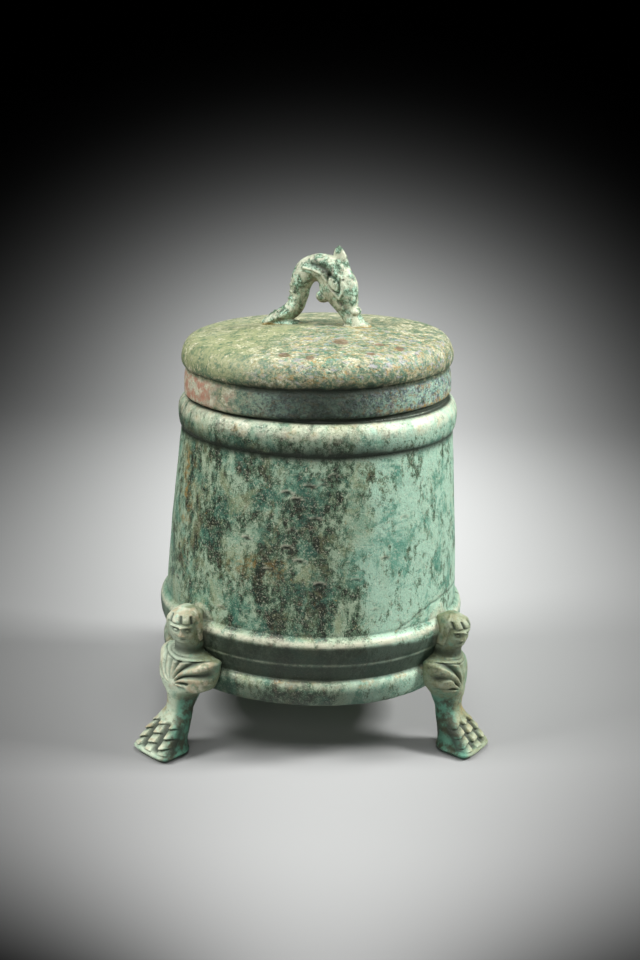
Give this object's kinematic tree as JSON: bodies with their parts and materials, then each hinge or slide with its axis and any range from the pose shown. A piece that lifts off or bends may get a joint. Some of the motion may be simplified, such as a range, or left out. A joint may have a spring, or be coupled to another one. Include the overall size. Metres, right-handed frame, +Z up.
{
  "type": "bronze cista",
  "caption": "Round bronze casket with moulded rims on lion-paw feet with small busts, closed by a loose domed lid with a dolphin handle.",
  "frame": {"origin": "on the ground, under the middle of the whole piece's box", "axes": "+Z up through the body, the front is -Y, +X is the right-hand side seen from the front"},
  "size_m": [0.2516, 0.259, 0.35],
  "materials": {
    "body_bronze": "old bronze under a mottled dark and light green patina, matt to satin",
    "lid_bronze": "old bronze under a crusted olive, ochre and grey-blue patina, matt",
    "handle_bronze": "cast bronze under a pale green patina with rust-brown spots, satin",
    "foot_bronze": "cast bronze under a grey-green patina with tan high spots, matt to satin"
  },
  "bodies": {
    "root": {"vessel": "body_bronze", "lid": "lid_bronze", "handle": "handle_bronze", "foot_left": "foot_bronze", "foot_right": "foot_bronze", "foot_back": "foot_bronze"}
  },
  "joints": []
}
